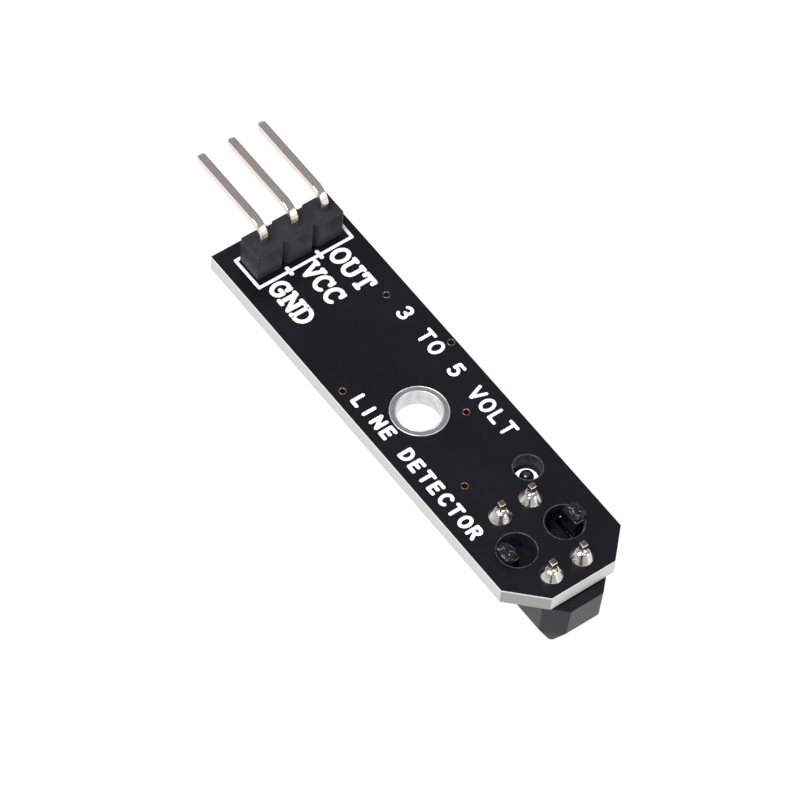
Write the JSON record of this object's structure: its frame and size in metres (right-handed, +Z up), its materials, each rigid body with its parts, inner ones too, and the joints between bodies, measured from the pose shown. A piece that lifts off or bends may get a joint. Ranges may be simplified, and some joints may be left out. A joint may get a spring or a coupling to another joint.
{
  "type": "line tracking sensor module",
  "caption": "Narrow sensor board for a line follower: right-angle pin header at one end, downward reflective infrared sensor at the other, M3 fixing hole between.",
  "frame": {"origin": "centre of the M3 fixing hole on the board's underside", "axes": "+X along the board towards the optical sensor, +Y across the board towards the signal pin, +Z up to the face that carries the pin header"},
  "size_m": [0.0415, 0.0097, 0.0096],
  "materials": {
    "solder_mask_board": "satin black solder mask on glass-epoxy laminate, pale cut edges",
    "tin_plate": "bright tin over copper",
    "solder": "bright soft solder",
    "header_plastic": "moulded, satin",
    "sensor_plastic": "moulded, half gloss",
    "blue_epoxy": "cast clear epoxy with a blue tint",
    "black_epoxy": "cast daylight-blocking epoxy",
    "lamp_epoxy": "white carrier with a clear dome",
    "chip_plastic": "moulded, matte",
    "resistor_glaze": "glazed",
    "capacitor_ceramic": "fired ceramic"
  },
  "bodies": {
    "root": {"chip_resistor_1": "resistor_glaze", "chip_resistor_2": "resistor_glaze", "chip_resistor_3": "resistor_glaze", "chip_resistor_4": "resistor_glaze", "chip_resistor_5": "resistor_glaze", "circuit_board": "solder_mask_board", "comparator_body": "chip_plastic", "comparator_leg_1": "tin_plate", "comparator_leg_2": "tin_plate", "comparator_leg_3": "tin_plate", "comparator_leg_4": "tin_plate", "comparator_leg_5": "tin_plate", "comparator_leg_6": "tin_plate", "comparator_leg_7": "tin_plate", "comparator_leg_8": "tin_plate", "fixing_hole_barrel": "tin_plate", "header_housing": "header_plastic", "header_joint_ground": "solder", "header_joint_signal": "solder", "header_joint_supply": "solder", "header_pin_ground": "tin_plate", "header_pin_signal": "tin_plate", "header_pin_supply": "tin_plate", "indicator_lamp": "lamp_epoxy", "infrared_detector": "black_epoxy", "infrared_emitter": "blue_epoxy", "sensor_housing": "sensor_plastic", "sensor_joint_detector_collector": "solder", "sensor_joint_detector_emitter": "solder", "sensor_joint_emitter_anode": "solder", "sensor_joint_emitter_cathode": "solder", "sensor_lead_detector_collector": "tin_plate", "sensor_lead_detector_emitter": "tin_plate", "sensor_lead_emitter_anode": "tin_plate", "sensor_lead_emitter_cathode": "tin_plate", "supply_capacitor": "capacitor_ceramic", "via_barrel_1": "tin_plate", "via_barrel_2": "tin_plate", "via_barrel_3": "tin_plate", "via_barrel_4": "tin_plate", "via_barrel_5": "tin_plate"}
  },
  "joints": []
}
